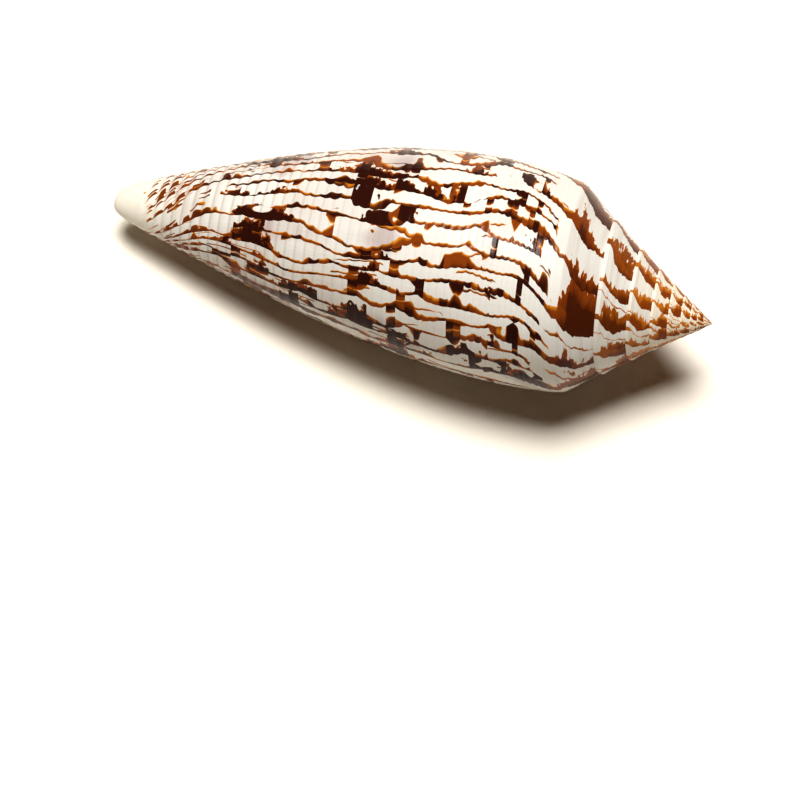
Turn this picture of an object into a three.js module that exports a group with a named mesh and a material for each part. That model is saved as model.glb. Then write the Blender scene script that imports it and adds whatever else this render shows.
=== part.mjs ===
// A cone shell: one coiled calcareous tube, grown as a single piece, lying aperture down.
//
// The shell is a helico-spiral. A growing edge turns about the coil axis, getting larger by a fixed ratio
// every turn, and the wall is the trail that it leaves. Growth is counted in turns: 0 is the outer lip,
// where the shell stopped growing, and -1 is one whole turn earlier. In the coil's own frame the axis is Z,
// the apex is at the top and depth is measured down from it.
//
// One growth edge is a row of stations: the seam with the whorl before, the ramp out to the shoulder, the
// little step under the shoulder, and the long side down to the tip at the front. Only the last turn shows
// its side, because each turn covers the side of the one before it.

import * as THREE from 'three';

// Driving dimensions: millimetres, degrees and turns.
const LENGTH = 72;
const SHOULDER_RADIUS = 13.85;
const SHOULDER_DEPTH = 18.9;
const TURNS = 9;
const RADIUS_GROWTH = 1.38;
const TIP_RADIUS_GROWTH = 1.98;
const DEPTH_GROWTH = 1.345;
const SEAM_STEP = 0.035;
const RAMP_HOLLOW = 0.03;
const APEX_RISE = 0.9;

// The side's radius, as a share of the shoulder's: a cubic along the side, rounded off at the tip.
const SIDE_SLOPE = 0.9;
const SIDE_BEND = -2.62;
const SIDE_FLARE = 1.035;
const NOSE_POWER = 4.8;
const NOSE_ROUNDNESS = 0.3;

// The mouth: how far round the hollow goes, how thick the wall is, and how the lip's two ends draw back.
const HOLLOW_TURNS = 0.8;
const WALL_SHARE = 0.24;
const WALL_LIFT = 4;
const NOTCH_AT_SHOULDER = 0.035;
const NOTCH_AT_FRONT = 0.17;
const FRONT_NOTCH_START = 0.72;

// How the shell lies: which side of the coil is underneath, and how far the apex is lifted.
const REST_SIDE_DEG = -49;
const REST_LIFT_DEG = 6.2;

// How finely the surface is divided.
const STEPS_PER_TURN = 40;
const RAMP_STEPS = 4;
const SIDE_STEPS = 20;
const SEAM_SHARE = 0.02;
const SIDE_CROWDING = 2.2;

const SHOULDER = RAMP_STEPS;
const STEP_FOOT = SHOULDER + 1;
const SEAM_FOOT = STEP_FOOT + 1;
const TIP = SEAM_FOOT + SIDE_STEPS;
const MOUTH_END = TIP - 4;
const APEX_ROW = -TURNS * STEPS_PER_TURN;
const DEEP_ROW = -Math.round(HOLLOW_TURNS * STEPS_PER_TURN);

// How far along the side a station is: 0 at the foot of the step, 1 at the tip, crowded towards the tip.
function alongSide(station) {
  if (station <= STEP_FOOT) return 0;
  const even = (station - SEAM_FOOT) / SIDE_STEPS;
  return SEAM_SHARE + (1 - SEAM_SHARE) * (1 - (1 - even) ** SIDE_CROWDING);
}

// How far the section has opened: it starts as a point at the apex and is whole after one turn.
function opening(turn) {
  return THREE.MathUtils.clamp(turn + TURNS, 0, 1);
}

// The shoulder's radius and depth, and the depth of the foot of the step under it.
function shoulder(turn) {
  const opened = opening(turn);
  const depth = SHOULDER_DEPTH * DEPTH_GROWTH ** turn - APEX_RISE * (1 - opened) ** 2;
  return {
    radius: SHOULDER_RADIUS * RADIUS_GROWTH ** turn * Math.sin((opened * Math.PI) / 2),
    depth,
    foot: depth * (1 + SEAM_STEP * opened),
  };
}

// A point of the ramp: a straight line from the seam out to the shoulder, slightly hollowed.
function onRamp(turn, share) {
  const outer = shoulder(turn);
  const inner = shoulder(turn - 1);
  const seamRadius = turn - 1 < -TURNS ? 0 : inner.radius;
  const seamDepth = turn - 1 < -TURNS ? shoulder(-TURNS).depth : inner.foot;
  const hollow = RAMP_HOLLOW * opening(turn) * (outer.depth - seamDepth) * Math.sin(Math.PI * share);
  return {
    radius: THREE.MathUtils.lerp(seamRadius, outer.radius, share),
    depth: THREE.MathUtils.lerp(seamDepth, outer.depth, share) + hollow,
  };
}

// A point of the side, from the foot of the step to the tip.
function onSide(turn, along) {
  const growth = THREE.MathUtils.lerp(RADIUS_GROWTH, TIP_RADIUS_GROWTH, along);
  const outline = 1 + SIDE_SLOPE * along + SIDE_BEND * along ** 2 + SIDE_FLARE * along ** 3;
  const nose = (1 - along ** NOSE_POWER) ** NOSE_ROUNDNESS;
  const { foot } = shoulder(turn);
  return {
    radius: SHOULDER_RADIUS * outline * nose * growth ** turn,
    depth: THREE.MathUtils.lerp(foot, LENGTH, along),
  };
}

// The turn at which a growth edge reaches a station. An edge trails behind on the ramp and near the tip,
// which draws the lip back at both of its ends.
function turnAt(turn, station) {
  if (station < SHOULDER) {
    return turn - NOTCH_AT_SHOULDER * opening(turn) * Math.sin((Math.PI * station) / SHOULDER);
  }
  const front = Math.max(0, alongSide(station) - FRONT_NOTCH_START) / (1 - FRONT_NOTCH_START);
  return turn - NOTCH_AT_FRONT * front ** 2;
}

// The outer wall at a station, when growth is at a turn.
function outerWall(at, station) {
  if (station <= SHOULDER) return onRamp(at, station / SHOULDER);
  if (station > STEP_FOOT) return onSide(at, alongSide(station));
  return { radius: shoulder(at).radius, depth: shoulder(at).foot };
}

// The inner skin: part of the way from the outer wall to the side of the turn before it.
function innerSkin(at, station) {
  const wall = outerWall(at, station);
  const { foot } = shoulder(at - 1);
  const upward = station <= SHOULDER ? station / SHOULDER : (1 - alongSide(station)) ** 2;
  const along = Math.max(SEAM_SHARE, (wall.depth + WALL_LIFT * upward - foot) / (LENGTH - foot));
  const core = onSide(at - 1, Math.min(1, along));
  return {
    radius: THREE.MathUtils.lerp(wall.radius, core.radius, WALL_SHARE),
    depth: THREE.MathUtils.lerp(wall.depth, core.depth, WALL_SHARE),
  };
}

// Stations that meet are one vertex. The seam is the foot of the step one turn earlier, the inner skin
// starts and ends on the side of the turn before it, and the apex and the tip are single points.
function meeting(layer, row, station) {
  const before = row - STEPS_PER_TURN;
  if (layer === 'inner' && station === 0) return meeting('outer', before, SEAM_FOOT);
  if (layer === 'inner' && station === MOUTH_END) return meeting('outer', before, MOUTH_END);
  if (station === TIP) return ['outer', 0, TIP];
  if (row === APEX_ROW) return ['outer', APEX_ROW, 0];
  if (station === 0) return meeting('outer', Math.max(APEX_ROW, before), STEP_FOOT);
  return [layer, row, station];
}

// Collects the vertices and triangles of the closed skin. Each vertex is made once, so the faces share it.
class Skin {
  constructor() {
    this.points = [];
    this.faces = [];
    this.known = new Map();
  }

  // The vertex of one row and station, in the outer or the inner skin.
  vertex(layer, row, station) {
    const spot = meeting(layer, row, station);
    const name = spot.join(' ');
    if (!this.known.has(name)) {
      this.known.set(name, this.points.length / 3);
      this.points.push(...this.place(spot));
    }
    return this.known.get(name);
  }

  place([layer, row, station]) {
    const at = turnAt(row / STEPS_PER_TURN, station);
    const spot = layer === 'inner' ? innerSkin(at, station) : outerWall(at, station);
    const angle = -2 * Math.PI * at;
    return [spot.radius * Math.cos(angle), spot.radius * Math.sin(angle), -spot.depth];
  }

  triangle(a, b, c) {
    if (a !== b && b !== c && c !== a) this.faces.push(a, b, c);
  }

  // Joins two rows of vertices that run side by side. The rows may have different numbers of vertices.
  join(left, right) {
    let i = 0;
    let j = 0;
    while (i < left.length - 1 || j < right.length - 1) {
      const leftShare = (i + 1) / left.length;
      const rightShare = (j + 1) / right.length;
      const advanceLeft = j === right.length - 1 || (i < left.length - 1 && leftShare <= rightShare);
      if (advanceLeft) {
        this.triangle(left[i], left[i + 1], right[j]);
        i += 1;
      } else {
        this.triangle(left[i], right[j + 1], right[j]);
        j += 1;
      }
    }
  }
}

function range(first, last) {
  return Array.from({ length: last - first + 1 }, (_, i) => first + i);
}

function shellGeometry() {
  const skin = new Skin();
  const edge = (layer, row, first, last) => range(first, last).map((s) => skin.vertex(layer, row, s));

  function ribbon(layer, firstRow, lastRow, firstStation, lastStation, outward) {
    for (let row = firstRow; row < lastRow; row += 1) {
      const older = edge(layer, row, firstStation, lastStation);
      const newer = edge(layer, row + 1, firstStation, lastStation);
      if (outward) skin.join(newer, older);
      else skin.join(older, newer);
    }
  }

  const oneTurn = STEPS_PER_TURN;

  // The ramps of all the turns, the side of the last turn, and the side of the turn before it, which is
  // the inner wall of the mouth as far in as the hollow goes.
  ribbon('outer', APEX_ROW, 0, 0, STEP_FOOT, true);
  ribbon('outer', -oneTurn, 0, STEP_FOOT, SEAM_FOOT, true);
  ribbon('outer', DEEP_ROW - oneTurn, 0, SEAM_FOOT, MOUTH_END, true);
  ribbon('outer', -oneTurn, 0, MOUTH_END, TIP, true);

  // The inner skin of the last turn, and the wall at the deep end of the hollow.
  ribbon('inner', DEEP_ROW, 0, 0, MOUTH_END, false);
  skin.join(edge('outer', DEEP_ROW - oneTurn, SEAM_FOOT, MOUTH_END), edge('inner', DEEP_ROW, 0, MOUTH_END));

  // The lip's edge, and below it the little scarp that runs out to the tip.
  skin.join(edge('inner', 0, 0, MOUTH_END), edge('outer', 0, 0, MOUTH_END));
  skin.join(edge('outer', -oneTurn, MOUTH_END, TIP), edge('outer', 0, MOUTH_END, TIP));

  const geometry = new THREE.BufferGeometry();
  geometry.setAttribute('position', new THREE.Float32BufferAttribute(skin.points, 3));
  geometry.setIndex(skin.faces);
  return geometry;
}

// Lays the shell down: the chosen side of the coil goes underneath and the coil axis points along +X,
// with the apex end lifted. The origin is on the ground under the middle of the shell.
function layDown(geometry) {
  const side = THREE.MathUtils.degToRad(REST_SIDE_DEG);
  const lift = THREE.MathUtils.degToRad(REST_LIFT_DEG);
  const up = new THREE.Vector3(
    -Math.cos(side) * Math.cos(lift), -Math.sin(side) * Math.cos(lift), Math.sin(lift),
  );
  const apexward = new THREE.Vector3(0, 0, 1);
  const forward = apexward.addScaledVector(up, -up.z).normalize();
  const left = new THREE.Vector3().crossVectors(up, forward);
  geometry.applyMatrix4(new THREE.Matrix4().makeBasis(forward, left, up).transpose());
  geometry.computeBoundingBox();
  const { min, max } = geometry.boundingBox;
  geometry.translate(-(min.x + max.x) / 2, -(min.y + max.y) / 2, -min.z);
  geometry.computeVertexNormals();
  return geometry;
}

const material = new THREE.MeshStandardMaterial({ color: 0xe9dccb, roughness: 0.18, metalness: 0 });
const shell = new THREE.Mesh(layDown(shellGeometry()), material);
shell.name = 'shell';

const coneShell = new THREE.Group();
coneShell.add(shell);

export default coneShell;
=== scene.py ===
# %% [markdown]
# # A cone shell, rolled up from flat strips
#
# A cone shell is one tube of shell that its animal lengthens at the open end, the lip, while turning about
# an axis. Every turn is larger than the last by the same ratio, so a few numbers describe the whole coil.
# This lesson cuts that surface out as flat strips, rolls them up by the growth law, welds them into one
# closed skin, carves the fine relief into it, and then paints it with nodes that follow the same growth.
#
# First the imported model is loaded. It fixes where the shell lies and how big it is.

import math

import bmesh
import bpy
from mathutils import Matrix, Vector, noise


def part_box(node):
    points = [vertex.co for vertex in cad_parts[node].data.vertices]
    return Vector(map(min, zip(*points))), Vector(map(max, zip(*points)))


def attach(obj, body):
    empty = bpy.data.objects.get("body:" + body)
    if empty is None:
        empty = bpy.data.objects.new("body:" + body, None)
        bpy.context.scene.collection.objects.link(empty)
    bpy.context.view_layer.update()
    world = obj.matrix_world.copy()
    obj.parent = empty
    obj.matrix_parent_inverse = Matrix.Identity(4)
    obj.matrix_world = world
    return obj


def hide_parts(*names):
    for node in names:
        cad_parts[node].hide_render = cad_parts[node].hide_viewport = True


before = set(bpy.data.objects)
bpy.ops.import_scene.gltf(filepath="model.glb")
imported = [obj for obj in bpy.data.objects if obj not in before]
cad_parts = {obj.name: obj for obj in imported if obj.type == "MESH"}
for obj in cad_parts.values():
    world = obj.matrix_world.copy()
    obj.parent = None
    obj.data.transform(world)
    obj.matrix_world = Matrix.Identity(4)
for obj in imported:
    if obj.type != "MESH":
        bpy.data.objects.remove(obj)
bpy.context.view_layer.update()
LOW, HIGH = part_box("shell")
MM = 0.001
print("the shell's box in millimetres:", [round(side / MM, 1) for side in HIGH - LOW])

# %% [markdown]
# ## Camera
#
# A shell is a small thing, so it is looked at from close by with a long lens, which keeps its outline free
# of distortion. The camera looks down steeply and stands a little to the apex's side. It is aimed at the
# ground in front of the shell, so the shell sits in the upper half of the frame with open floor below.

# %% Camera
CAMERA_TURN = math.radians(14.4)
CAMERA_HEIGHT = math.radians(72.4)
CAMERA_AWAY = 0.42
FRAME_WIDTH = 0.0923
SENSOR = 36.0
AIM_RIGHT = -0.0014
AIM_DOWN = 0.0172
MIDDLE = Vector((0.0, 0.0, 0.01))

backward = Vector((
    math.sin(CAMERA_TURN) * math.cos(CAMERA_HEIGHT),
    -math.cos(CAMERA_TURN) * math.cos(CAMERA_HEIGHT),
    math.sin(CAMERA_HEIGHT),
))
rightward = Vector((math.cos(CAMERA_TURN), math.sin(CAMERA_TURN), 0.0))
upward = backward.cross(rightward)

camera = bpy.data.objects.new("camera", bpy.data.cameras.new("camera"))
bpy.context.scene.collection.objects.link(camera)
bpy.context.scene.camera = camera
camera.data.sensor_width = SENSOR
camera.data.lens = SENSOR * CAMERA_AWAY / FRAME_WIDTH
aim = MIDDLE + rightward * AIM_RIGHT - upward * AIM_DOWN
camera.location = aim + backward * CAMERA_AWAY
camera.rotation_euler = Matrix((rightward, upward, backward)).transposed().to_euler()
camera.data.clip_start = 0.01
print("lens:", round(camera.data.lens, 1), "mm")

# %% [markdown]
# ## Floor and light
#
# The floor is a plain pale sheet. One large soft light stands above the shell and a little behind it, so the
# shadow falls to the front. A faint warm light from all round fills that shadow, which turns it brown
# instead of black. The contrast is raised a little, as on a bright table top.

# %% Floor and light
FLOOR_SIZE = 1.2
FLOOR_COLOUR = (0.93, 0.87, 0.77, 1)
FLOOR_ROUGHNESS = 0.9
KEY_PLACE = (-0.05, 0.125, 0.585)
KEY_SIZE = (0.24, 0.24)
KEY_POWER = 5.2
KEY_TINT = (1.0, 0.985, 0.96)
FILL_TINT = (1.0, 0.54, 0.27, 1)
FILL_STRENGTH = 0.021


def soft_light(name, place, target, size, power, tint):
    """A square area light that faces a target."""
    lamp = bpy.data.lights.new(name, "AREA")
    lamp.shape = "RECTANGLE"
    lamp.size, lamp.size_y = size
    lamp.energy = power
    lamp.color = tint
    holder = bpy.data.objects.new(name, lamp)
    holder.location = place
    holder.rotation_euler = (Vector(target) - Vector(place)).to_track_quat("-Z", "Y").to_euler()
    bpy.context.scene.collection.objects.link(holder)
    return holder


floor_mesh = bpy.data.meshes.new("floor")
bm = bmesh.new()
bmesh.ops.create_grid(bm, x_segments=1, y_segments=1, size=FLOOR_SIZE / 2)
bm.to_mesh(floor_mesh)
bm.free()
floor = bpy.data.objects.new("floor", floor_mesh)
bpy.context.scene.collection.objects.link(floor)

floor_paint = bpy.data.materials.new("pale floor")
floor_paint.use_nodes = True
floor_shader = floor_paint.node_tree.nodes["Principled BSDF"]
floor_shader.inputs["Base Color"].default_value = FLOOR_COLOUR
floor_shader.inputs["Roughness"].default_value = FLOOR_ROUGHNESS
floor_mesh.materials.append(floor_paint)

soft_light("key", KEY_PLACE, MIDDLE, KEY_SIZE, KEY_POWER, KEY_TINT)

surroundings = bpy.data.worlds.new("surroundings")
bpy.context.scene.world = surroundings
surroundings.use_nodes = True
background = surroundings.node_tree.nodes["Background"]
background.inputs["Color"].default_value = FILL_TINT
background.inputs["Strength"].default_value = FILL_STRENGTH
bpy.context.scene.view_settings.view_transform = "Standard"
bpy.context.scene.view_settings.look = "Medium High Contrast"
print("key light:", round(Vector(KEY_PLACE).length, 2), "m away,", KEY_SIZE[0], "m wide")

# %% [markdown]
# ## The growth law
#
# Growth is counted in turns: 0 is the lip, where the shell stopped, and -1 is one whole turn earlier. The
# shoulder's radius and depth below the apex are powers of the turn. From the seam with the turn before, the
# ramp runs out to the shoulder, a low step drops below it, and the long side runs down to the tip. These are
# the same numbers, in millimetres, as the solid has.

# %% The growth law
LENGTH = 72
SHOULDER_RADIUS = 13.85
SHOULDER_DEPTH = 18.9
TURNS = 9
RADIUS_GROWTH = 1.38
TIP_RADIUS_GROWTH = 1.98
DEPTH_GROWTH = 1.345
SEAM_STEP = 0.035
RAMP_HOLLOW = 0.03
APEX_RISE = 0.9
SIDE_SLOPE = 0.9
SIDE_BEND = -2.62
SIDE_FLARE = 1.035
NOSE_POWER = 4.8
NOSE_ROUNDNESS = 0.3


def clamp(value, low=0.0, high=1.0):
    return max(low, min(high, value))


def mix(start, end, share):
    return start + (end - start) * share


def ease(value, start, end):
    """0 before start, 1 after end, and a smooth curve between."""
    share = clamp((value - start) / (end - start))
    return share * share * (3 - 2 * share)


def opening(turn):
    """How far the section has opened: a point at the apex, whole after one turn."""
    return clamp(turn + TURNS)


def shoulder(turn):
    """The shoulder's radius and depth, and the depth of the foot of the step under it."""
    opened = opening(turn)
    radius = SHOULDER_RADIUS * RADIUS_GROWTH ** turn * math.sin(opened * math.pi / 2)
    depth = SHOULDER_DEPTH * DEPTH_GROWTH ** turn - APEX_RISE * (1 - opened) ** 2
    return radius, depth, depth * (1 + SEAM_STEP * opened)


def on_ramp(turn, share):
    """Radius and depth on the ramp: share is 0 at the seam and 1 at the shoulder."""
    outer_radius, outer_depth, _ = shoulder(turn)
    if turn - 1 < -TURNS:
        seam_radius, seam_depth = 0.0, shoulder(-TURNS)[1]
    else:
        seam_radius, _, seam_depth = shoulder(turn - 1)
    hollow = RAMP_HOLLOW * opening(turn) * (outer_depth - seam_depth) * math.sin(math.pi * share)
    return mix(seam_radius, outer_radius, share), mix(seam_depth, outer_depth, share) + hollow


def on_step(turn, share):
    """Radius and depth on the step: share is 0 at the shoulder and 1 at its foot."""
    radius, depth, foot = shoulder(turn)
    return radius, mix(depth, foot, share)


def on_side(turn, along):
    """Radius and depth on the side: along is 0 at the foot of the step and 1 at the tip."""
    growth = mix(RADIUS_GROWTH, TIP_RADIUS_GROWTH, along)
    outline = 1 + SIDE_SLOPE * along + SIDE_BEND * along ** 2 + SIDE_FLARE * along ** 3
    nose = (1 - along ** NOSE_POWER) ** NOSE_ROUNDNESS
    return SHOULDER_RADIUS * outline * nose * growth ** turn, mix(shoulder(turn)[2], LENGTH, along)


print("shoulder at the lip: radius and depth", [round(value, 1) for value in shoulder(0)[:2]])

# %% [markdown]
# ## Stations and rows
#
# A strip is a sheet of small squares. Its rows count growth and its stations count across the growing edge,
# from the seam to the tip. Fine spiral cords run round the side, close together near the shoulder and wider
# apart below, and every cord gets the same few stations, so none of them is lost between two. Stations crowd
# together at the tip, where the surface bends most. At both ends of the edge growth trails behind: that
# draws the lip back in a notch at the shoulder and in a wider one at the front.

# %% Stations and rows
STEPS_PER_TURN = 150
RAMP_STEPS = 16
STEP_STEPS = 4
SHOULDER = RAMP_STEPS
STEP_FOOT = SHOULDER + STEP_STEPS
APEX_ROW = -TURNS * STEPS_PER_TURN

CORD_SPACING_TOP = 0.62
CORD_SPACING_FRONT = 1.2
STEPS_PER_CORD = 6
TIP_CROWDING = 0.3
LAST_STEP = 0.00001

SEAM_SHARE = 0.02
MOUTH_END_SHARE = 0.971
NOTCH_AT_SHOULDER = 0.035
NOTCH_AT_FRONT = 0.17
FRONT_NOTCH_START = 0.72
RAMP_CROWDING = 1.5
SIDE_LENGTH = LENGTH - SHOULDER_DEPTH


def cord_spacing(along):
    return mix(CORD_SPACING_TOP, CORD_SPACING_FRONT, ease(along, 0.02, 0.45))


SIDE_SHARES = [0.0]
CORD_COUNTS = [0.0]
while SIDE_SHARES[-1] < 1 - LAST_STEP:
    spacing = cord_spacing(SIDE_SHARES[-1]) / SIDE_LENGTH
    width = min(spacing / STEPS_PER_CORD, TIP_CROWDING * (1 - SIDE_SHARES[-1]))
    SIDE_SHARES.append(SIDE_SHARES[-1] + width)
    CORD_COUNTS.append(CORD_COUNTS[-1] + width / spacing)
SIDE_SHARES[-1] = 1.0
TIP = STEP_FOOT + len(SIDE_SHARES) - 1


def along_side(station):
    return SIDE_SHARES[station - STEP_FOOT]


def cord_count(station):
    return CORD_COUNTS[max(0, station - STEP_FOOT)]


def up_ramp(station):
    return 1 - (1 - station / RAMP_STEPS) ** RAMP_CROWDING


def station_at(share):
    """The first station of the side that is at least that far along it."""
    return next(s for s in range(STEP_FOOT, TIP + 1) if along_side(s) >= share)


SEAM_FOOT = station_at(SEAM_SHARE)
LIP_STEPS = SEAM_FOOT - STEP_FOOT
MOUTH_END = station_at(MOUTH_END_SHARE)


def turn_at(turn, station):
    """The turn at which a growing edge reaches a station."""
    if station < SHOULDER:
        return turn - NOTCH_AT_SHOULDER * opening(turn) * math.sin(math.pi * up_ramp(station))
    front = max(0.0, along_side(station) - FRONT_NOTCH_START) if station > STEP_FOOT else 0.0
    return turn - NOTCH_AT_FRONT * (front / (1 - FRONT_NOTCH_START)) ** 2


def outer_wall(at, station):
    if station <= SHOULDER:
        return on_ramp(at, up_ramp(station))
    if station <= STEP_FOOT:
        return on_step(at, (station - SHOULDER) / STEP_STEPS)
    return on_side(at, along_side(station))


print("stations across the edge:", TIP, "- cords:", round(CORD_COUNTS[-1]), "- the mouth ends at", MOUTH_END)

# %% [markdown]
# ## The inner skin and the lip
#
# Behind the lip the wall has an inner skin, which lies part of the way from the outer wall to the side of
# the turn before. It is thinnest at the lip and reaches its full thickness a little way in, as a real lip
# does. Around the lip's edge the two skins are joined by a narrow rounded strip.

# %% The inner skin and the lip
HOLLOW_TURNS = 0.8
WALL_SHARE = 0.24
WALL_LIFT = 4
LIP_SHARE = 0.1
LIP_THICKENS_OVER = 0.07
LIP_BULGE = 0.0022


def inner_skin(turn, at, station):
    radius, depth = outer_wall(at, station)
    foot = shoulder(at - 1)[2]
    if station <= SHOULDER:
        upward_share = up_ramp(station)
    else:
        upward_share = (1 - along_side(max(station, STEP_FOOT))) ** 2
    along = clamp((depth + WALL_LIFT * upward_share - foot) / (LENGTH - foot), SEAM_SHARE, 1)
    core_radius, core_depth = on_side(at - 1, along)
    share = mix(LIP_SHARE, WALL_SHARE, ease(-turn, 0, LIP_THICKENS_OVER))
    return mix(radius, core_radius, share), mix(depth, core_depth, share)


def coiled(radius, depth, at):
    """A point of the coil, with the apex at the top and the coil axis along Z."""
    angle = -2 * math.pi * at
    return Vector((radius * math.cos(angle), radius * math.sin(angle), -depth))


def outer_place(row, station):
    at = turn_at(row / STEPS_PER_TURN, station)
    return coiled(*outer_wall(at, station), at)


def inner_place(row, station):
    turn = row / STEPS_PER_TURN
    if station == 0:
        return outer_place(row - STEPS_PER_TURN, SEAM_FOOT)
    if station == MOUTH_END:
        return outer_place(row - STEPS_PER_TURN, MOUTH_END)
    at = turn_at(turn, station)
    return coiled(*inner_skin(turn, at, station), at)


def lip_place(across, station):
    """Round the lip: across is 0 at the outer skin and LIP_STEPS at the inner one. Past the mouth's end the
    strip drops from the lip to the turn before it, and at the seam it meets the side's first stations."""
    if station == 0:
        return outer_place(-STEPS_PER_TURN, STEP_FOOT + across)
    inner = inner_place(0, station) if station <= MOUTH_END else outer_place(-STEPS_PER_TURN, station)
    share = across / LIP_STEPS
    ahead = LIP_BULGE * math.sin(math.pi * share) * ease(MOUTH_END - station, 0, 12) * ease(station, 0, 8)
    place = outer_place(0, station).lerp(inner, share)
    turned = Matrix.Rotation(-2 * math.pi * ahead, 3, "Z")
    return turned @ place


# %% [markdown]
# ## Cut the strips and roll them up
#
# The grid operator makes each flat strip. A point's X counts rows and its Y counts stations, so the strip
# is also its own map: every corner of every face writes down its turn and its station there before the
# strip is rolled up. The paint will read that map. The hidden walls inside the mouth take longer steps.
#
# The colours may be baked later, and for that every face also gets its own spot on one square sheet. Each
# strip has a patch of the sheet to itself, the largest for the side. The ramp is as long as nine turns, so
# it is laid out turn by turn, in patches that get lower as the turns get smaller.

# %% Cut the strips and roll them up
INNER_ROW_STEP = 5
DEEP_ROW = -INNER_ROW_STEP * round(HOLLOW_TURNS * STEPS_PER_TURN / INNER_ROW_STEP)

OUTSIDE, WITHIN = 0.0, 1.0
SIDE_PATCH = (0.01, 0.34, 0.99, 0.99)
CORE_PATCH = (0.01, 0.01, 0.48, 0.05)
INNER_PATCH = (0.52, 0.01, 0.99, 0.05)
LIP_PATCH = (0.01, 0.06, 0.85, 0.08)
DEEP_PATCH = (0.90, 0.06, 0.99, 0.08)
RAMP_PATCHES = []
patch_top = 0.33
for turns_back in range(TURNS):
    patch_height = 0.058 * RADIUS_GROWTH ** -turns_back
    RAMP_PATCHES.append((0.01, patch_top - patch_height, 0.99, patch_top))
    patch_top -= patch_height + 0.003
print("lowest patch of the ramp starts at", round(patch_top, 3))


def in_patch(patch, share_x, share_y):
    left, bottom, right, top = patch
    return mix(left, right, share_x), mix(bottom, top, share_y)


def cut_strip(bm, rows, stations, place, row_step=1, side=OUTSIDE, patch=None):
    """A flat strip over a range of rows and stations, rolled up by place. Without a patch it takes those of
    the ramp, one for each turn."""
    first_row, last_row = rows
    first_station, last_station = stations
    count = (last_row - first_row) // row_step
    height = last_station - first_station
    flat = Matrix.Translation((count / 2, height / 2, 0)) @ Matrix.Diagonal((count / 2, height / 2, 1, 1))
    strip = bmesh.ops.create_grid(bm, x_segments=count, y_segments=height, size=1, matrix=flat)["verts"]
    growth = bm.loops.layers.uv["growth"]
    surface = bm.loops.layers.uv["surface"]
    sheet = bm.loops.layers.uv["OFBake"]
    for face in {face for vertex in strip for face in vertex.link_faces}:
        middle_row = first_row + face.calc_center_median().x * row_step
        turns_back = math.floor(-middle_row / STEPS_PER_TURN)
        for corner in face.loops:
            row = first_row + round(corner.vert.co.x) * row_step
            station = first_station + round(corner.vert.co.y)
            corner[growth].uv = (row / STEPS_PER_TURN, across_edge(station))
            corner[surface].uv = (cord_count(station), side)
            share_x = (row - first_row) / (last_row - first_row)
            share_y = (station - first_station) / height
            if patch is None:
                share_x = row / STEPS_PER_TURN + turns_back + 1
                corner[sheet].uv = in_patch(RAMP_PATCHES[turns_back], share_x, share_y)
            elif side == WITHIN:
                corner[sheet].uv = in_patch(patch, share_y, share_x)
            else:
                corner[sheet].uv = in_patch(patch, share_x, share_y)
    for vertex in strip:
        row = first_row + round(vertex.co.x) * row_step
        station = first_station + round(vertex.co.y)
        vertex.co = place(row, station)
        vertex[bm.verts.layers.float["carve"]] = 0.0 if side else relief(row, station)
    return strip


def across_edge(station):
    """-1 at the seam, 0 at the shoulder and 1 at the tip."""
    if station <= SHOULDER:
        return up_ramp(station) - 1
    return along_side(station) if station > STEP_FOOT else 0.0


# %% [markdown]
# ## Fine relief
#
# Low spiral cords run round the side, closer together near the shoulder. The ramp carries a few finer ones,
# the shoulder has a raised edge that is beaded on the early turns, and uneven growth lines cross them all.

# %% Fine relief
GROOVE_DEPTH = 0.04
FRONT_GROOVE_DEPTH = 0.15
RAMP_CORDS = 4
RAMP_CORD_HEIGHT = 0.015
ROUNDED_OFF = 0.2
ROUNDED_OVER = 1.5
RIDGE_HEIGHT = 0.03
BEADS_PER_TURN = 22
GROWTH_LINE_HEIGHT = 0.03


def growth_lines(row, station):
    turn = row / STEPS_PER_TURN
    return noise.noise(Vector((turn * 50, across_edge(station) * 2.5, 0.3)))


def groove(row, station):
    """Between two cords: a narrow furrow, deeper towards the front, uneven as the shell grew."""
    along = along_side(station)
    count = cord_count(station)
    depth = mix(GROOVE_DEPTH, FRONT_GROOVE_DEPTH, ease(along, 0.5, 0.86))
    uneven = 1 + 0.6 * noise.noise(Vector((round(count) * 3.7, row / STEPS_PER_TURN * 9, 5.1)))
    furrow = (0.5 + 0.5 * math.cos(2 * math.pi * count)) ** 2
    return depth * uneven * furrow


def ridge(turn, from_shoulder):
    """The shoulder's edge, by the distance from it: rounded off on the last turn, beaded on early ones."""
    size = RADIUS_GROWTH ** turn
    near = clamp(1 - abs(from_shoulder) / (ROUNDED_OVER * size)) ** 2
    early = ease(-turn, 0.9, 1.6)
    beads = 1 + 0.8 * math.cos(2 * math.pi * BEADS_PER_TURN * turn) * ease(-turn, 2.5, 4.5)
    return size * near * mix(-ROUNDED_OFF, RIDGE_HEIGHT * beads, early)


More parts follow.
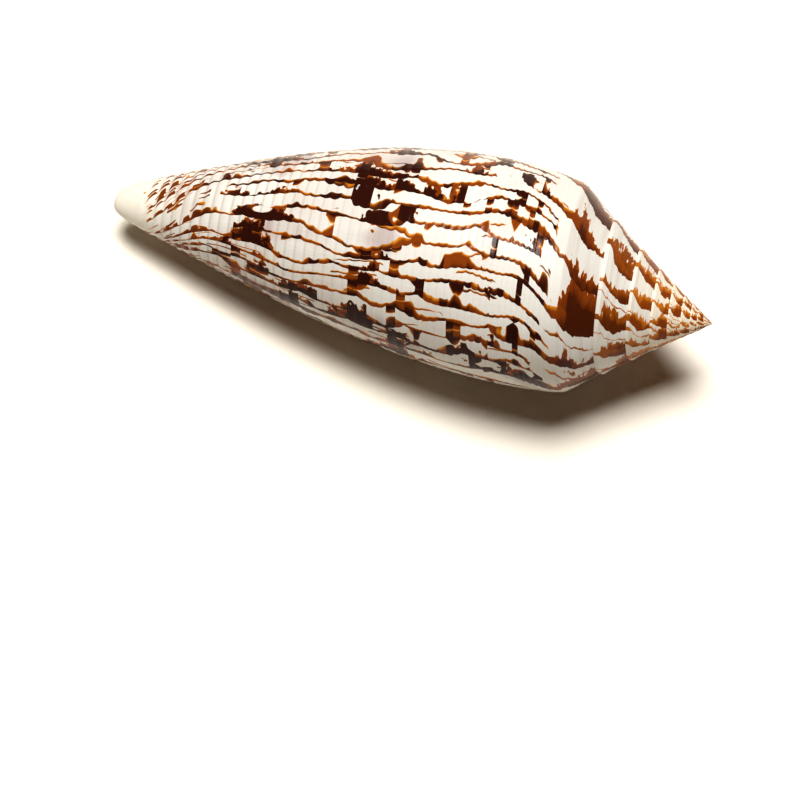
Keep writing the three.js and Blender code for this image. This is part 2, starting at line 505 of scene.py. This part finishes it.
def relief(row, station):
    """How far the surface stands proud of the smooth coil, in millimetres."""
    turn = row / STEPS_PER_TURN
    size = RADIUS_GROWTH ** turn
    lines = GROWTH_LINE_HEIGHT * growth_lines(row, station) * size
    radius, depth = outer_wall(turn, station)
    edge_radius, edge_depth, _ = shoulder(turn)
    from_shoulder = math.hypot(radius - edge_radius, depth - edge_depth)
    if station <= SHOULDER:
        share = up_ramp(station)
        cords = RAMP_CORD_HEIGHT * size * math.cos(2 * math.pi * RAMP_CORDS * share)
        inland = math.sin(math.pi * share)
        return (ridge(turn, from_shoulder) * ease(share, 0, 0.5) + (cords + lines) * inland) * opening(turn)
    if station <= STEP_FOOT and turn < -1:
        share = (station - SHOULDER) / STEP_STEPS
        return ridge(turn, from_shoulder) * (1 - ease(share, 0, 1)) * opening(turn)
    exposed = ease(turn, -0.995, -0.95)
    if station <= STEP_FOOT:
        return ridge(turn, from_shoulder) * exposed
    along = along_side(station)
    body = ease(along, 0, 0.02) * (1 - ease(along, 0.9, 0.955))
    return (ridge(turn, from_shoulder) + (lines - groove(row, station)) * body) * exposed


shell_mesh = bpy.data.meshes.new("shell_skin")
bm = bmesh.new()
bm.loops.layers.uv.new("growth")
bm.loops.layers.uv.new("surface")
bm.loops.layers.uv.new("OFBake")
carve = bm.verts.layers.float.new("carve")

ONE_TURN = STEPS_PER_TURN
cut_strip(bm, (APEX_ROW, 0), (0, STEP_FOOT), outer_place)
cut_strip(bm, (-ONE_TURN, 0), (STEP_FOOT, TIP), outer_place, patch=SIDE_PATCH)
hidden_rows = (DEEP_ROW - ONE_TURN, -ONE_TURN)
cut_strip(bm, hidden_rows, (SEAM_FOOT, MOUTH_END), outer_place, INNER_ROW_STEP, WITHIN, CORE_PATCH)
cut_strip(bm, (DEEP_ROW, 0), (0, MOUTH_END), inner_place, INNER_ROW_STEP, WITHIN, INNER_PATCH)
cut_strip(bm, (0, LIP_STEPS), (0, TIP), lip_place, 1, WITHIN, LIP_PATCH)
print("points cut:", len(bm.verts))

# %% [markdown]
# ## Weld, close and carve
#
# Where strips meet, their points lie in the same place, so merging doubles welds them into one skin. The
# deep end of the hollow is closed with a fill. Then the normals are made to point out, and each point is
# moved along its normal by the relief that was worked out for it.

# %% Weld, close and carve
WELD = 0.00004

bmesh.ops.remove_doubles(bm, verts=bm.verts, dist=WELD)
open_edges = [edge for edge in bm.edges if edge.is_boundary]
print("edges left open:", len(open_edges))
filled = bmesh.ops.triangle_fill(bm, edges=open_edges, use_beauty=True)["geom"]
for face in [part for part in filled if isinstance(part, bmesh.types.BMFace)]:
    for corner in face.loops:
        from_axis = math.hypot(corner.vert.co.x, corner.vert.co.y) / SHOULDER_RADIUS
        corner[bm.loops.layers.uv["surface"]].uv = (0, WITHIN)
        corner[bm.loops.layers.uv["OFBake"]].uv = in_patch(DEEP_PATCH, -corner.vert.co.z / LENGTH, from_axis)
bmesh.ops.recalc_face_normals(bm, faces=bm.faces)
bm.normal_update()
moves = [(vertex, vertex.normal * vertex[carve]) for vertex in bm.verts]
for vertex, move in moves:
    vertex.co += move
loose = [edge for edge in bm.edges if not edge.is_manifold]
print("faces:", len(bm.faces), "- edges not closed:", len(loose))
print("volume in cm3:", round(bm.calc_volume() / 1000, 2))

# %% [markdown]
# ## Lay the shell down
#
# The shell lies on its lip and its belly, with the apex lifted a little. It is turned so that the coil axis
# points along X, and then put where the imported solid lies: the middles of the two boxes meet, and the
# lowest point touches the ground. The place goes into the mesh, so the object itself stays at the origin.

# %% Lay the shell down
REST_SIDE = math.radians(-49)
REST_LIFT = math.radians(6.2)

up = Vector((
    -math.cos(REST_SIDE) * math.cos(REST_LIFT),
    -math.sin(REST_SIDE) * math.cos(REST_LIFT),
    math.sin(REST_LIFT),
))
forward = (Vector((0, 0, 1)) - up * up.z).normalized()
left = up.cross(forward)
lie_down = Matrix((forward, left, up)).to_4x4()
bmesh.ops.transform(bm, matrix=Matrix.Scale(MM, 4) @ lie_down, verts=bm.verts)


def box_of(bm):
    corners = [[pick(vertex.co[axis] for vertex in bm.verts) for axis in range(3)] for pick in (min, max)]
    return Vector(corners[0]), Vector(corners[1])


low, high = box_of(bm)
shift = (LOW + HIGH) / 2 - (low + high) / 2
shift.z = LOW.z - low.z
bmesh.ops.translate(bm, vec=shift, verts=bm.verts)
for face in bm.faces:
    face.smooth = True
bm.to_mesh(shell_mesh)
bm.free()

shell = bpy.data.objects.new("shell_skin", shell_mesh)
bpy.context.scene.collection.objects.link(shell)
print("box in millimetres:", [round(side / MM, 2) for side in high - low])

# %% [markdown]
# ## Fields to paint with
#
# The colours of a cone shell are laid down at the lip, a thin band at a time, so the pattern is a record of
# growth: what runs along the lip is a line of constant turn. The paint therefore reads the growth map and
# not the shape. Writing it as plain sums keeps it short: a field is a number that changes over the surface,
# and adding or multiplying two fields makes the math node for it.

# %% Fields to paint with
paint = bpy.data.materials.new("porcelain shell")
paint.use_nodes = True
tree = paint.node_tree
shell_mesh.materials.append(paint)


class Field:
    """The output of a node, as a number that can be added to, multiplied and compared."""

    def __init__(self, socket):
        self.socket = socket

    def __add__(self, other):
        return maths("ADD", self, other)

    def __radd__(self, other):
        return maths("ADD", self, other)

    def __sub__(self, other):
        return maths("SUBTRACT", self, other)

    def __rsub__(self, other):
        return maths("SUBTRACT", other, self)

    def __mul__(self, other):
        return maths("MULTIPLY", self, other)

    def __rmul__(self, other):
        return maths("MULTIPLY", self, other)

    def __truediv__(self, other):
        return maths("DIVIDE", self, other)


def feed(socket, value):
    """Sets a socket to a constant, or links a field into it."""
    if isinstance(value, Field):
        tree.links.new(value.socket, socket)
    else:
        socket.default_value = value


def maths(operation, *values):
    node = tree.nodes.new("ShaderNodeMath")
    node.operation = operation
    for socket, value in zip(node.inputs, values):
        feed(socket, value)
    return Field(node.outputs[0])


def lowest(a, b):
    return maths("MINIMUM", a, b)


def highest(a, b):
    return maths("MAXIMUM", a, b)


def rises(value, start, end):
    """0 where the value is under start, 1 where it is over end, and smooth between."""
    node = tree.nodes.new("ShaderNodeMapRange")
    node.interpolation_type = "SMOOTHSTEP"
    for name, given in (("Value", value), ("From Min", start), ("From Max", end)):
        feed(node.inputs[name], given)
    return Field(node.outputs["Result"])


def near(value, middle, reach):
    """1 where the value is at the middle, falling to 0 at the reach on both sides."""
    return 1 - rises(maths("ABSOLUTE", value - middle), 0.0, reach)


def place_of(x, y=0.0, z=0.0):
    """A place to read noise at, from three numbers."""
    node = tree.nodes.new("ShaderNodeCombineXYZ")
    for socket, value in zip(node.inputs, (x, y, z)):
        feed(socket, value)
    return Field(node.outputs[0])


def clouds(place, detail=0.0, roughness=0.5):
    """Soft noise about 0, from -0.5 to 0.5."""
    node = tree.nodes.new("ShaderNodeTexNoise")
    feed(node.inputs["Vector"], place)
    node.inputs["Scale"].default_value = 1.0
    node.inputs["Detail"].default_value = detail
    node.inputs["Roughness"].default_value = roughness
    return Field(node.outputs["Fac"]) - 0.5


def chance(*places):
    """A number from 0 to 1, drawn afresh for every whole place. The last place is its seed."""
    node = tree.nodes.new("ShaderNodeTexWhiteNoise")
    feed(node.inputs["Vector"], place_of(*places))
    return Field(node.outputs["Value"])


def picked(share, *places):
    """1 at about this share of the whole places, and 0 at the others. The last place is its seed."""
    limit = 1 - share
    return rises(chance(*places), limit, limit + 0.02)


def blend(share, first, second):
    """A colour between two: the first where the share is 0, the second where it is 1."""
    node = tree.nodes.new("ShaderNodeMix")
    node.data_type = "RGBA"
    feed(node.inputs["Factor"], share)
    for socket, colour in zip([s for s in node.inputs if s.type == "RGBA"], (first, second)):
        feed(socket, colour if isinstance(colour, Field) else (*colour, 1.0))
    return Field([s for s in node.outputs if s.type == "RGBA"][0])


def read_map(name):
    node = tree.nodes.new("ShaderNodeUVMap")
    node.uv_map = name
    split = tree.nodes.new("ShaderNodeSeparateXYZ")
    tree.links.new(node.outputs["UV"], split.inputs[0])
    return Field(split.outputs["X"]), Field(split.outputs["Y"])


turn, edge = read_map("growth")
cord, within = read_map("surface")
on_body = rises(edge, -0.01, 0.02)
print("fields read: turn, edge, cord and within")

# %% [markdown]
# ## Growth lines of colour
#
# The animal colours the lip in pulses, 36 to a turn. Each pulse starts dark, at a sharp edge, and fades to
# amber before it stops, which leaves a fine line along the whole body. The lines follow the lip, so they
# sweep back near the tip and again over the shoulder. On the ramp they are straighter than the lip, and they
# ripple.
#
# A line also wanders: it drifts slowly, it is folded into low tents with sharp corners, and the cords
# scallop it. Its width swells and shrinks, it is thickened into dark knots here and there, and in places it
# runs out. Now and then a stray line leaves its place and joins the next one.
#
# Each field of colour says how much growth is left until the colour stops. It is above 0 where there is
# colour, and small near the edge where it fades. Widths are in pulses, and the last number of a place of
# noise is its seed.

# %% Growth lines of colour
LINES_PER_TURN = 36
SWEEP_AT_FRONT = 0.35
SWEEP_AT_SHOULDER = 0.04
SWEEP_ON_RAMP = 0.035
UNBENT_ON_RAMP = 0.026
RIPPLE_ON_RAMP = 0.02
RAMP_SHARE = 0.14
DRIFT = 1.6
FOLD = 1.5
SCALLOP = 0.10
FRONT_FROM = 0.75
SHOULDER_REACH = 0.1
FULL_TURN = 2 * math.pi
LINE_PITCH = FULL_TURN * SHOULDER_RADIUS / LINES_PER_TURN

down = highest(edge, 0.0)
up = highest(edge * -1, 0.0)
across = down - up * RAMP_SHARE
to_front = highest(edge - FRONT_FROM, 0.0) / (1 - FRONT_FROM)
to_shoulder = highest(1 - down / SHOULDER_REACH, 0.0)
grown = turn + to_front * to_front * SWEEP_AT_FRONT
grown = grown + to_shoulder * to_shoulder * SWEEP_AT_SHOULDER + up * SWEEP_ON_RAMP
ripple = clouds(place_of(turn * 50, up * 6, 61.0), detail=2.0) * rises(up, 0.0, 0.3)
grown = grown - maths("SINE", up * math.pi) * UNBENT_ON_RAMP + ripple * RIPPLE_ON_RAMP

scalloped = clouds(place_of(turn * 20, across * 12, 14.0)) + 0.5
scallop = maths("ABSOLUTE", maths("COSINE", cord * math.pi)) * scalloped * SCALLOP


def wandering(seed, drift, fold):
    """The pulses counted along growth, with the lines' own course. The seed picks another course."""
    slow = clouds(place_of(grown * 8, across * 3, seed)) * drift
    wiggle = clouds(place_of(grown * 14, across * 6, seed + 2.4), detail=2.0, roughness=0.4)
    tents = maths("PINGPONG", wiggle * 1.8, 0.5) * fold
    return grown * LINES_PER_TURN + slow + tents + scallop


pulse = wandering(1.7, DRIFT, FOLD)
pulse_number = maths("FLOOR", pulse)
since_start = pulse - pulse_number
print("lines of colour:", LINES_PER_TURN, "to a turn,", round(LINE_PITCH, 1), "mm apart at the lip")

# %% [markdown]
# ## How wide each line is
#
# A line swells and shrinks, has knots and gaps, and may end early. These four are worked out one by one and
# then put together. About a quarter of the lines end before the front, each at a place of its own. The stray
# lines are a second, much wilder set, of which only a few stretches are kept.

# %% How wide each line is
LINE_WIDTH = 0.25
SWELLING = 0.45
KNOT_WIDTH = 0.4
ENDING_EARLY = 0.28
FIRST_END = 0.62
END_SPREAD = 0.2
STRAY_WIDTH = 0.16
STRAY_DRIFT = 2.2 * DRIFT
STRAY_FOLD = 1.2 * FOLD

swell = clouds(place_of(pulse_number * 7.31, across * 20, 8.2), detail=2.0)
runs_out = rises(clouds(place_of(pulse_number * 5.17, edge * 8, 2.6)), -0.31, -0.26)
ends_early = picked(ENDING_EARLY, pulse_number, 4.0)
ends_at = chance(pulse_number, 5.0) * END_SPREAD + FIRST_END
goes_on = 1 - ends_early * rises(edge - ends_at, -0.01, 0.01)
knot = rises(clouds(place_of(pulse_number * 3.3, across * 22, 12.0)), 0.10, 0.30) * KNOT_WIDTH
line_width = (swell * SWELLING + LINE_WIDTH + knot) * runs_out * goes_on

stray_start = maths("FRACT", wandering(21.3, STRAY_DRIFT, STRAY_FOLD))
astray = rises(clouds(place_of(turn * 12, edge * 9, 31.0)), 0.05, 0.10)
stray_left = astray * STRAY_WIDTH - stray_start
print("a line's width in millimetres, about:", round(LINE_WIDTH * LINE_PITCH, 2))

# %% [markdown]
# ## Blotches between the lines
#
# Now and then the pulse doesn't stop, and the colour fills the whole gap up to the next line. That happens
# along one stretch of the lip at a time, cord by cord, so a blotch steps from cord to cord. Its rim is
# ragged, and small windows of white are left open in it. Two spiral bands hold most of the blotches, and a
# weaker one lies under the shoulder. A band has its place along the side, its reach and its pull.
#
# Smaller fills lie between: those are narrow bridges, which are widest where they meet the two lines. Around
# some blotches the colour lies deeper in the shell and shows only as a smoky shade.

# %% Blotches between the lines
MAIN_BAND = (0.38, 0.13, 0.23)
FRONT_BAND = (0.64, 0.14, 0.25)
SHOULDER_BAND = (0.10, 0.12, 0.10)
BETWEEN_CORDS = 0.35
CORD_UNEVENNESS = 0.4
RAGGEDNESS = 0.6
WINDOW_STRENGTH = 0.75
FILL_WIDTH = 1.2
BRIDGE_WIDTH = 0.8

cord_number = maths("FLOOR", cord + 0.5)
stepped = cord_number + (cord - cord_number) * BETWEEN_CORDS
uneven = (chance(pulse_number, cord_number, 1.0) - 0.5) * CORD_UNEVENNESS
big = clouds(place_of(turn * 8, stepped * 0.15, 11.0), detail=1.0)
deep = clouds(place_of(turn * 11, cord * 0.12, 53.0), detail=1.0)
own_reach = clouds(place_of(pulse_number * 9.7, stepped * 0.19, 6.5), detail=1.0)
bands = 0.0
for band_place, reach, pull in (MAIN_BAND, FRONT_BAND, SHOULDER_BAND):
    bands = near(edge, band_place, reach) * pull + bands
ragged = clouds(place_of(turn * 70, across * 70, 37.0), detail=2.0)
window = rises(clouds(place_of(turn * 34, cord * 0.35, 43.0)), 0.08, 0.2)
chosen = big * 0.7 + own_reach * 1.1 + bands + ragged * 0.25
blotch = rises(chosen, 0.14, 0.34)
fill = blotch * (1 + uneven + ragged * RAGGEDNESS) * (1 - window * WINDOW_STRENGTH) * FILL_WIDTH
smoke = rises(deep + bands, 0.12, 0.40)

small = clouds(place_of(pulse_number * 4.3, stepped * 0.42, 3.9))
small = small + near(edge, FRONT_BAND[0], 0.2) * 0.03
bridge = rises(small, 0.11, 0.24) * BRIDGE_WIDTH
from_line = lowest(since_start, 1 - since_start)
bridge_left = bridge - from_line * 1.5 - 0.03
print("bands of blotches at", MAIN_BAND[0], FRONT_BAND[0], "and", SHOULDER_BAND[0], "of the side")

# %% [markdown]
# ## The ramp and the spire
#
# Every third line thickens as it comes to the shoulder and opens there into a broad flame, twelve to a turn.
# A flame starts across the whole ramp and then keeps to its inner side, next to the seam. The fine cords of
# the ramp tear its end into streaks. Twelve is a whole number, so the flames of one turn stand above those
# of the next, all the way up the spire. About two lines in five cross the ramp as fine threads.

# %% The ramp and the spire
LINES_PER_FLAME = 3
FLAME_WIDTH = 0.50
FLAME_UNEVENNESS = 0.9
INNER_WIDTH = 0.24
INNER_UNEVENNESS = 1.2
TEAR = 0.3
THREADS = 0.4
THREAD_WIDTH = 0.20
THREAD_UNEVENNESS = 0.4
THICKENING = 0.35

flame_pulse = pulse / LINES_PER_FLAME
flame_number = maths("FLOOR", flame_pulse)
flame_start = flame_pulse - flame_number
flame_noise = clouds(place_of(flame_number * 3.7, up * 0.8, turn * 2))
last_turn = 1 - rises(turn * -1, 0.98, 1.0)
crossing = rises(up - down * 5, -0.25, 0.3)
inner_side = rises(up + clouds(place_of(turn * 16, up, 3.3)) * 0.3 + last_turn * 0.22, 0.40, 0.54)
flame_width = crossing * (flame_noise * FLAME_UNEVENNESS + FLAME_WIDTH)
flame_width = flame_width + inner_side * (flame_noise * INNER_UNEVENNESS + INNER_WIDTH)
torn = clouds(place_of(turn * 24, up * 1.6, 7.7), detail=1.0) * TEAR
streaks = clouds(place_of(turn * 30, up * 9, 27.0), detail=2.0, roughness=0.6)
flame_left = flame_width - flame_start - (torn + streaks) * rises(flame_start, 0.0, 0.3)
thread = picked(THREADS, pulse_number, 6.0) * (THREAD_WIDTH + swell * THREAD_UNEVENNESS)
ramp_left = highest(flame_left, (thread - since_start) * 0.4)
first_line = 1 - rises(flame_start, 0.32, 0.34)
line_width = line_width + to_shoulder * first_line * THICKENING
print("flames:", LINES_PER_TURN / LINES_PER_FLAME, "to a turn")

# %% [markdown]
# ## The tip
#
# Towards the front the lines break up into dashes, one on each cord, and the last few millimetres stay
# plain.

# %% The tip
PLAIN_FROM = 0.915
BROKEN_FROM = 0.72
BROKEN_WHOLLY = 0.86
DASH_THICKENING = 2.0
GAP_STRENGTH = 0.85

broken = rises(edge + clouds(place_of(turn * 17, edge * 9, 41.0)) * 0.3, BROKEN_FROM, BROKEN_WHOLLY)
dash = rises(maths("COSINE", (cord + 0.5) * FULL_TURN) + swell * 6, -0.9, 0.1)
frayed = clouds(place_of(turn * 14, edge * 4, 9.0)) * 0.06
coloured = 1 - rises(edge + frayed, PLAIN_FROM - 0.01, PLAIN_FROM + 0.01)
line_width = line_width * (1 + broken * DASH_THICKENING) * (1 - broken * (1 - dash) * GAP_STRENGTH)
print("plain from", round((1 - PLAIN_FROM) * SIDE_LENGTH, 1), "mm before the tip")

# %% [markdown]
# ## Where the pigment lies
#
# The lines, blotches, bridges and strays are put together: whichever has the most growth left wins. Two
# lines in three stop a little short of the shoulder. What lies beyond it are the flames and the threads.

# %% Where the pigment lies
STOPS_SHORT_BY = 0.05
STRIPINESS = 0.6

stripes = (chance(pulse_number, cord_number, 7.0) - 0.5) * STRIPINESS
age = clouds(place_of(turn * 13, edge * 6, 5.5), detail=2.0) + stripes
body_left = highest(highest(line_width, fill) - since_start, highest(stray_left, bridge_left))
stops_short = chance(pulse_number, 8.0) * STOPS_SHORT_BY * (1 - first_line)
shoulder_end = rises(edge - stops_short, 0.0, 0.006)
body_left = highest(body_left * shoulder_end * coloured, flame_left * 1.2)
ramp_left = ramp_left * (1 - on_body)
pigment = rises(highest(body_left, ramp_left), 0.0, 0.03)
print("lines stop up to", round(STOPS_SHORT_BY * SIDE_LENGTH, 1), "mm short of the shoulder")

# %% [markdown]
# ## The pigment's own colours
#
# The pigment is nearly black where it is thick, chestnut where it is thinner, and amber where it ends. On
# the spire it is lighter, orange going to chestnut. Where it is thick depends on how much growth is left and
# on its age, which differs from cord to cord, so a blotch shows fine stripes.

# %% The pigment's own colours
INK = (0.030, 0.007, 0.004)
UMBER = (0.065, 0.014, 0.004)
CHESTNUT = (0.20, 0.045, 0.006)
AMBER = (0.58, 0.22, 0.018)
ORANGE = (0.46, 0.15, 0.014)

body_colour = blend(rises(body_left, 0.02, 0.13), AMBER, CHESTNUT)
thick = body_left * 0.7 + age * 0.9 + to_shoulder * 0.15
body_colour = blend(rises(thick, 0.02, 0.36) * (1 - broken * 0.7), body_colour, INK)
ramp_depth = rises(ramp_left + age * 0.5 + streaks * 0.6, 0.12, 0.55)
ramp_colour = blend(rises(ramp_left, 0.01, 0.06), AMBER, blend(ramp_depth, CHESTNUT, UMBER))
spire_colour = blend(ramp_depth, ORANGE, CHESTNUT)
ramp_colour = blend(rises(turn * -1, 0.9, 2.4), ramp_colour, spire_colour)
pigment_colour = blend(on_body, ramp_colour, body_colour)
print("nodes so far:", len(tree.nodes))

# %% [markdown]
# ## The white under it
#
# Under the pigment the shell is white, with a cold shade in its thickness, an ivory one at the front and a
# cream one on the spire. The furrows between the cords get a painted shade, a little tan, stronger towards
# the front, and the deep colour near a blotch shines through as smoke. Inside the mouth there is no pigment
# at all.

# %% The white under it
WHITE = (0.64, 0.62, 0.57)
COLD = (0.55, 0.50, 0.45)
CREAM = (0.76, 0.66, 0.50)
IVORY = (0.74, 0.69, 0.59)
# A greyish tan for the painted shade in the furrows between the cords.
FURROW_SHADE = (0.34, 0.24, 0.17)
SMOKE = (0.30, 0.20, 0.20)
CREAM_ON_SPIRE = 0.8
# How strong the painted shade in the furrows is everywhere, and how much stronger towards the front.
SHADE_IN_FURROWS = 0.08
SHADE_TOWARDS_FRONT = 0.3
SMOKINESS = 0.6

ground = blend(rises(clouds(place_of(turn * 6, edge * 5, 2.2), detail=2.0), -0.1, 0.3), WHITE, COLD)
ground = blend(rises(edge, 0.8, 0.95), ground, IVORY)
ground = blend(rises(turn * -1, 0.8, 5.0) * CREAM_ON_SPIRE, ground, CREAM)
# Painted shade: the furrows between the cords are darkened towards tan, more towards the front.
furrow = rises(maths("COSINE", cord * FULL_TURN), 0.5, 1.0)
furrow = furrow * on_body * (1 - rises(edge, 0.84, 0.92))
furrow_shade_share = rises(edge, 0.35, 0.7) * SHADE_TOWARDS_FRONT + SHADE_IN_FURROWS
ground = blend(furrow * furrow_shade_share, ground, FURROW_SHADE)
smoky = rises(smoke + age * 0.4, 0.2, 1.2) * coloured * on_body
ground = blend(smoky * SMOKINESS, ground, SMOKE)
outside = 1 - within
colour = blend(pigment * outside, blend(within, ground, CREAM), pigment_colour)
print("colours mixed")

# %% [markdown]
# ## Gloss and fine grain
#
# The shell is polished, but not evenly: the pigment is a little harder and glossier than the white, the ramp
# and the front end are duller, and the fine growth striae break the highlights up. The striae are far too
# fine to be cut into the skin, so they are a bump, together with the threads that lie between the cords.

# %% Gloss and fine grain
GRAIN_HEIGHT = 0.06 * MM
GRAIN_STRENGTH = 0.5
THREAD_HEIGHT = 0.12
POLISH = 0.18
PIGMENT_POLISH = 0.04
RAMP_DULLNESS = 0.10
FRONT_DULLNESS = 0.10
INSIDE_DULLNESS = 0.06
WEAR = 0.10
SHEEN = 0.08

striae = clouds(place_of(grown * 240, edge * 5, cord_number * 0.4), detail=2.0)
threads = maths("COSINE", cord * (2 * FULL_TURN)) * THREAD_HEIGHT
grain = (striae + threads * on_body) * (1 - within * 0.8)
bump = tree.nodes.new("ShaderNodeBump")
bump.inputs["Strength"].default_value = GRAIN_STRENGTH
bump.inputs["Distance"].default_value = GRAIN_HEIGHT
feed(bump.inputs["Height"], grain)

worn = clouds(place_of(turn * 25, edge * 14, 17.0), detail=3.0)
dullness = worn * WEAR + (1 - on_body) * RAMP_DULLNESS + rises(edge, 0.8, 1.0) * FRONT_DULLNESS
dullness = dullness + within * INSIDE_DULLNESS

shader = tree.nodes["Principled BSDF"]
feed(shader.inputs["Base Color"], colour)
feed(shader.inputs["Roughness"], dullness - pigment * PIGMENT_POLISH + POLISH)
feed(shader.inputs["Normal"], Field(bump.outputs["Normal"]))
shader.inputs["Specular IOR Level"].default_value = SHEEN
print("nodes in the paint:", len(tree.nodes))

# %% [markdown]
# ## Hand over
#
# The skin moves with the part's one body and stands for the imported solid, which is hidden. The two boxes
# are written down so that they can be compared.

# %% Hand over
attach(shell, "root")
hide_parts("shell")
